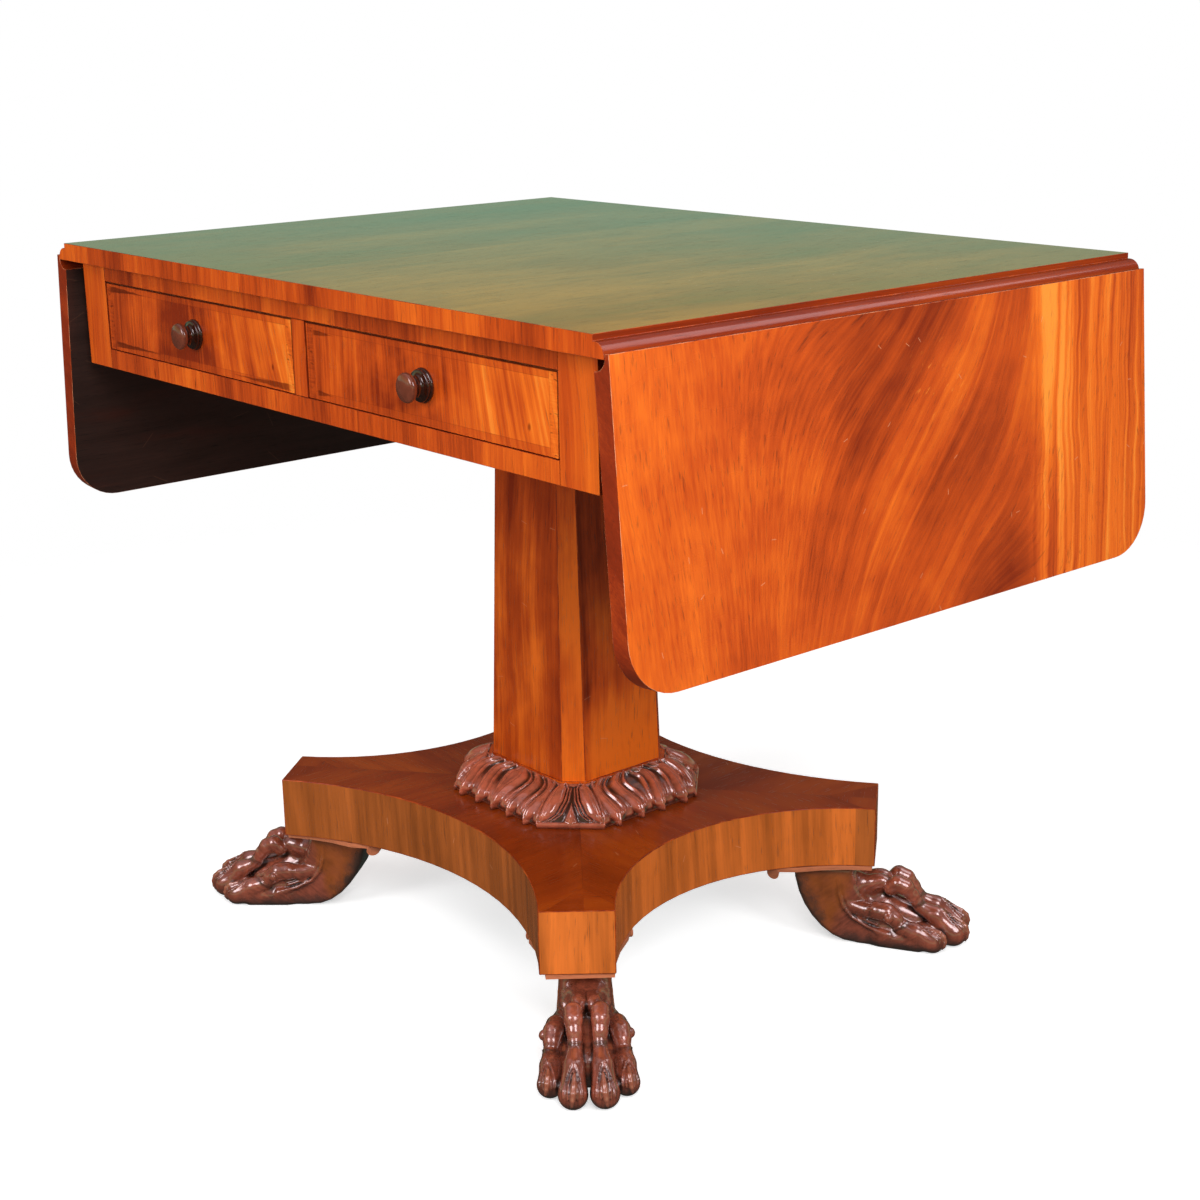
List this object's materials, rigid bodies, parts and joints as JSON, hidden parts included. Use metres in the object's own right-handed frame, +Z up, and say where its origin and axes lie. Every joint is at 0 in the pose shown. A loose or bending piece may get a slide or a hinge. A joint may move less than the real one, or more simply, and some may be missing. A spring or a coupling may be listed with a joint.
{
  "type": "drop-leaf pedestal table",
  "caption": "Drop-leaf pedestal table: hinged leaves on rule joints, frieze drawers with turned knobs, tapering column with a carved collar, and a hollow-sided platform on paw feet.",
  "frame": {"origin": "on the floor under the middle of the column", "axes": "+Z up, the drawers open towards -Y, the leaves hang at -X and +X"},
  "size_m": [0.9404, 0.6672, 0.726],
  "materials": {
    "polished_mahogany": "french polish, glossy",
    "veneered_mahogany": "figured veneer, polished",
    "carved_mahogany": "dark, polished carving",
    "foot_plates": "polished edge",
    "knobs": "turned and polished, nearly black",
    "plain_wood": "plain, unpolished",
    "brass_fittings": "aged brass"
  },
  "bodies": {
    "table": {"centre_stile": "veneered_mahogany", "collar_front": "carved_mahogany", "collar_left": "carved_mahogany", "collar_rear": "carved_mahogany", "collar_right": "carved_mahogany", "drawer_guide": "plain_wood", "end_stile_left": "veneered_mahogany", "end_stile_right": "veneered_mahogany", "fly_block_left": "plain_wood", "fly_block_right": "plain_wood", "fly_pin_front_left": "brass_fittings", "fly_pin_front_right": "brass_fittings", "fly_pin_rear_left": "brass_fittings", "fly_pin_rear_right": "brass_fittings", "foot_plate_front_left": "foot_plates", "foot_plate_front_right": "foot_plates", "foot_plate_rear_left": "foot_plates", "foot_plate_rear_right": "foot_plates", "front_bottom_rail": "veneered_mahogany", "front_top_rail": "veneered_mahogany", "hinge_bed_plate_front_left": "brass_fittings", "hinge_bed_plate_front_right": "brass_fittings", "hinge_bed_plate_rear_left": "brass_fittings", "hinge_bed_plate_rear_right": "brass_fittings", "paw_foot_front_left": "carved_mahogany", "paw_foot_front_right": "carved_mahogany", "paw_foot_rear_left": "carved_mahogany", "paw_foot_rear_right": "carved_mahogany", "pedestal_bearer": "plain_wood", "pedestal_column": "veneered_mahogany", "platform": "veneered_mahogany", "rear_rail": "veneered_mahogany", "runner_centre": "plain_wood", "runner_left": "plain_wood", "runner_right": "plain_wood", "side_rail_left": "plain_wood", "side_rail_right": "plain_wood", "table_top": "polished_mahogany"},
    "leaf_left": {"hinge_leaf_plate_front_left": "brass_fittings", "hinge_leaf_plate_rear_left": "brass_fittings", "leaf_left": "polished_mahogany"},
    "leaf_right": {"hinge_leaf_plate_front_right": "brass_fittings", "hinge_leaf_plate_rear_right": "brass_fittings", "leaf_right": "polished_mahogany"},
    "drawer_left": {"drawer_left_back": "plain_wood", "drawer_left_bottom": "plain_wood", "drawer_left_front": "veneered_mahogany", "drawer_left_knob": "knobs", "drawer_left_side_inner": "plain_wood", "drawer_left_side_outer": "plain_wood"},
    "drawer_right": {"drawer_right_back": "plain_wood", "drawer_right_bottom": "plain_wood", "drawer_right_front": "veneered_mahogany", "drawer_right_knob": "knobs", "drawer_right_side_inner": "plain_wood", "drawer_right_side_outer": "plain_wood"},
    "bracket_front_left": {"fly_bracket_front_left": "plain_wood"},
    "bracket_front_right": {"fly_bracket_front_right": "plain_wood"},
    "bracket_rear_left": {"fly_bracket_rear_left": "plain_wood"},
    "bracket_rear_right": {"fly_bracket_rear_right": "plain_wood"}
  },
  "joints": [
    {"name": "leaf_left_hinge", "type": "hinge", "parent": "table", "child": "leaf_left", "pos_m": [-0.4327, 0, 0.7098], "axis": [0, 1, 0], "range_deg": [0, 85.4]},
    {"name": "drawer_left_slide", "type": "slide", "parent": "table", "child": "drawer_left", "axis": [0, -1, 0], "range_m": [0, 0.4]},
    {"name": "bracket_front_left_pivot", "type": "hinge", "parent": "table", "child": "bracket_front_left", "pos_m": [-0.4083, -0.05, 0.6705], "axis": [0, 0, -1], "range_deg": [0, 3.3]},
    {"name": "bracket_rear_left_pivot", "type": "hinge", "parent": "table", "child": "bracket_rear_left", "pos_m": [-0.4083, 0.05, 0.6705], "axis": [0, 0, 1], "range_deg": [0, 3.3]},
    {"name": "leaf_right_hinge", "type": "hinge", "parent": "table", "child": "leaf_right", "pos_m": [0.4327, 0, 0.7098], "axis": [0, -1, 0], "range_deg": [0, 85.4]},
    {"name": "drawer_right_slide", "type": "slide", "parent": "table", "child": "drawer_right", "axis": [0, -1, 0], "range_m": [0, 0.4]},
    {"name": "bracket_front_right_pivot", "type": "hinge", "parent": "table", "child": "bracket_front_right", "pos_m": [0.4083, -0.05, 0.6705], "axis": [0, 0, 1], "range_deg": [0, 3.3]},
    {"name": "bracket_rear_right_pivot", "type": "hinge", "parent": "table", "child": "bracket_rear_right", "pos_m": [0.4083, 0.05, 0.6705], "axis": [0, 0, -1], "range_deg": [0, 3.3]}
  ]
}
